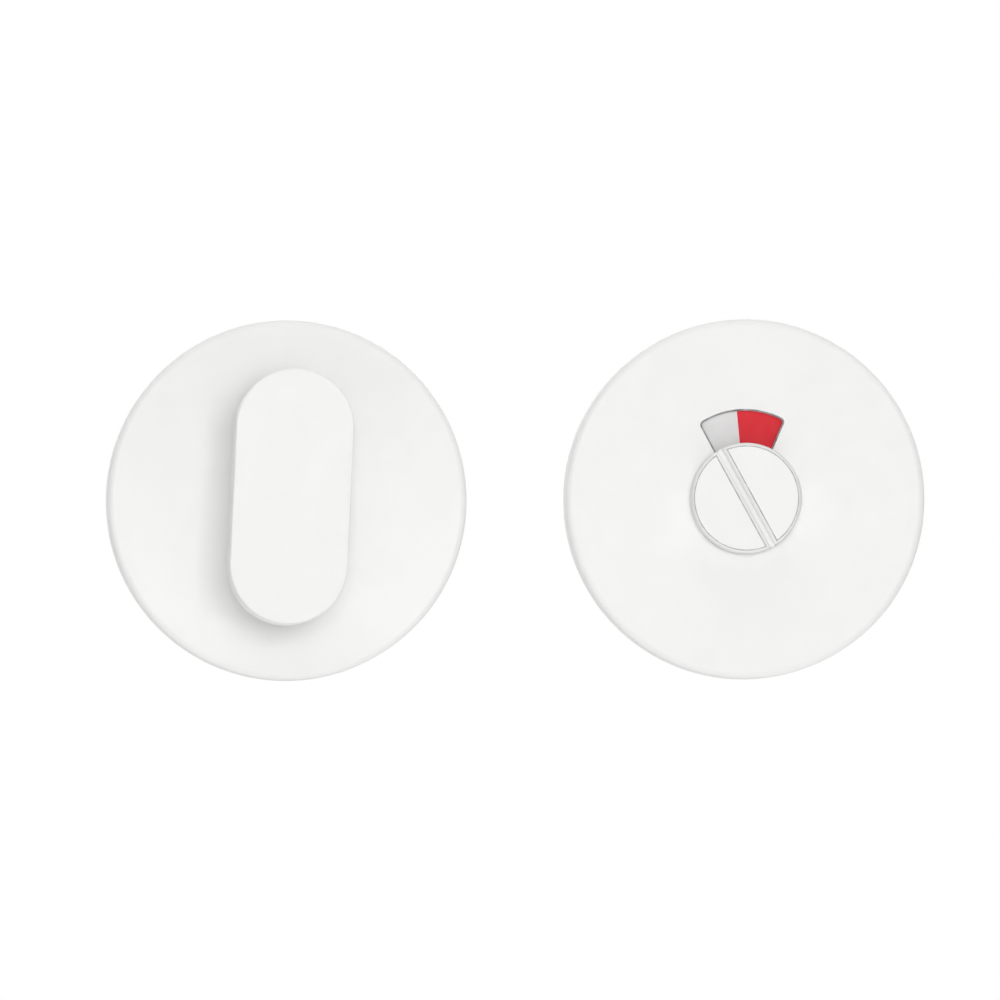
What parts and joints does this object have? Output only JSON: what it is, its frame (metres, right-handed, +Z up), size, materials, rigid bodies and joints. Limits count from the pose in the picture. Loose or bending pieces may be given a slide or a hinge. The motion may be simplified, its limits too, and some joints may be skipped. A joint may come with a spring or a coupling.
{
  "type": "bathroom thumb turn lock",
  "caption": "Pair of round white roses for a bathroom door: an obround thumb turn on a square spindle, and a coin-slotted release with a red and white indicator window.",
  "frame": {"origin": "on the thumb turn's axis, at the face of the door that the roses' backs lie on", "axes": "+X to the right seen from the front, from the thumb turn to the release; +Y into the door; +Z up"},
  "size_m": [0.1183, 0.085, 0.052],
  "materials": {
    "white_paint": "satin powder coat",
    "cast_zinc": "zinc alloy casting, as cast",
    "plated_steel": "bright zinc plate",
    "spring_steel": "dark phosphated spring steel",
    "nylon": "natural nylon",
    "indicator_white": "moulded plastic",
    "indicator_red": "moulded plastic"
  },
  "bodies": {
    "rose_pair": {"inside_rose_cover": "white_paint", "inside_rose_base": "cast_zinc", "inside_snap_ring": "spring_steel", "inside_bush": "nylon", "neck_guide_ring": "nylon", "turn_spring_washer": "spring_steel", "through_bolts": "plated_steel", "outside_rose_cover": "white_paint", "outside_rose_base": "cast_zinc", "outside_snap_ring": "spring_steel", "outside_bush": "nylon", "release_spring_washer": "spring_steel", "threaded_sleeves": "plated_steel"},
    "turn": {"thumb_turn": "white_paint", "turn_driver": "plated_steel", "turn_grub_screw": "spring_steel", "turn_circlip": "spring_steel", "spindle": "plated_steel"},
    "release": {"release_knob": "white_paint", "indicator_disc": "indicator_white", "indicator_red_field": "indicator_red", "release_circlip": "spring_steel"}
  },
  "joints": [
    {"name": "turn_rotation", "type": "hinge", "parent": "rose_pair", "child": "turn", "pos_m": [0, 0, 0], "axis": [0, -1, 0], "range_deg": [-93.1, 8.9]},
    {"name": "release_rotation", "type": "hinge", "parent": "rose_pair", "child": "release", "pos_m": [0.0663, 0, 0], "axis": [0, -1, 0], "range_deg": [-34.5, 67.5]}
  ]
}
